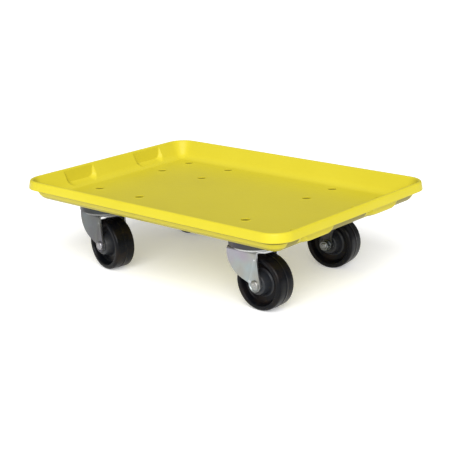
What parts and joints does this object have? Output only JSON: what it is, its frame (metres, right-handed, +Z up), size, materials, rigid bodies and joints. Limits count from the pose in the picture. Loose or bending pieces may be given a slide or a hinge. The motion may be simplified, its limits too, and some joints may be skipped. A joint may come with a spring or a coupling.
{
  "type": "tray dolly",
  "caption": "Shallow moulded tray dolly: coved walls, rounded rim with skirt, end-wall pockets, and swivel casters with stamped forks and hard wheels, for moving totes.",
  "frame": {"origin": "on the floor under the middle of the tray, at the foot of the wheels", "axes": "+X along the tray's long side, +Y across it, +Z up"},
  "size_m": [0.493, 0.35, 0.133],
  "materials": {
    "tray_plastic": "satin gloss",
    "zinc_plate": "bright zinc plate",
    "ball_steel": "polished",
    "wheel_black": "semi-gloss moulded"
  },
  "bodies": {
    "deck": {"tray": "tray_plastic", "mounting_rivets": "zinc_plate", "top_plate_front_right": "zinc_plate", "kingpin_front_right": "zinc_plate", "lower_race_front_right": "zinc_plate", "top_plate_back_right": "zinc_plate", "kingpin_back_right": "zinc_plate", "lower_race_back_right": "zinc_plate", "top_plate_front_left": "zinc_plate", "kingpin_front_left": "zinc_plate", "lower_race_front_left": "zinc_plate", "top_plate_back_left": "zinc_plate", "kingpin_back_left": "zinc_plate", "lower_race_back_left": "zinc_plate"},
    "swivel_front_right": {"fork_front_right": "zinc_plate", "upper_balls_front_right": "ball_steel", "lower_balls_front_right": "ball_steel", "axle_bolt_front_right": "zinc_plate", "axle_sleeve_front_right": "zinc_plate", "axle_washers_front_right": "zinc_plate", "axle_nut_front_right": "zinc_plate"},
    "roller_front_right": {"wheel_front_right": "wheel_black"},
    "swivel_back_right": {"fork_back_right": "zinc_plate", "upper_balls_back_right": "ball_steel", "lower_balls_back_right": "ball_steel", "axle_bolt_back_right": "zinc_plate", "axle_sleeve_back_right": "zinc_plate", "axle_washers_back_right": "zinc_plate", "axle_nut_back_right": "zinc_plate"},
    "roller_back_right": {"wheel_back_right": "wheel_black"},
    "swivel_front_left": {"fork_front_left": "zinc_plate", "upper_balls_front_left": "ball_steel", "lower_balls_front_left": "ball_steel", "axle_bolt_front_left": "zinc_plate", "axle_sleeve_front_left": "zinc_plate", "axle_washers_front_left": "zinc_plate", "axle_nut_front_left": "zinc_plate"},
    "roller_front_left": {"wheel_front_left": "wheel_black"},
    "swivel_back_left": {"fork_back_left": "zinc_plate", "upper_balls_back_left": "ball_steel", "lower_balls_back_left": "ball_steel", "axle_bolt_back_left": "zinc_plate", "axle_sleeve_back_left": "zinc_plate", "axle_washers_back_left": "zinc_plate", "axle_nut_back_left": "zinc_plate"},
    "roller_back_left": {"wheel_back_left": "wheel_black"}
  },
  "joints": [
    {"name": "swivel_front_right", "type": "hinge", "parent": "deck", "child": "swivel_front_right", "pos_m": [0.146, -0.1, 0.085], "axis": [0, 0, 1], "continuous": true},
    {"name": "roll_front_right", "type": "hinge", "parent": "swivel_front_right", "child": "roller_front_right", "pos_m": [0.162, -0.1, 0.0381], "axis": [0, 1, 0], "continuous": true},
    {"name": "swivel_back_right", "type": "hinge", "parent": "deck", "child": "swivel_back_right", "pos_m": [0.146, 0.1, 0.085], "axis": [0, 0, 1], "continuous": true},
    {"name": "roll_back_right", "type": "hinge", "parent": "swivel_back_right", "child": "roller_back_right", "pos_m": [0.13012, 0.09805, 0.0381], "axis": [0.1219, -0.9925, 0], "continuous": true},
    {"name": "swivel_front_left", "type": "hinge", "parent": "deck", "child": "swivel_front_left", "pos_m": [-0.146, -0.1, 0.085], "axis": [0, 0, 1], "continuous": true},
    {"name": "roll_front_left", "type": "hinge", "parent": "swivel_front_left", "child": "roller_front_left", "pos_m": [-0.13024, -0.10278, 0.0381], "axis": [0.1736, 0.9848, 0], "continuous": true},
    {"name": "swivel_back_left", "type": "hinge", "parent": "deck", "child": "swivel_back_left", "pos_m": [-0.146, 0.1, 0.085], "axis": [0, 0, 1], "continuous": true},
    {"name": "roll_back_left", "type": "hinge", "parent": "swivel_back_left", "child": "roller_back_left", "pos_m": [-0.16184, 0.10223, 0.0381], "axis": [-0.1392, -0.9903, 0], "continuous": true}
  ]
}
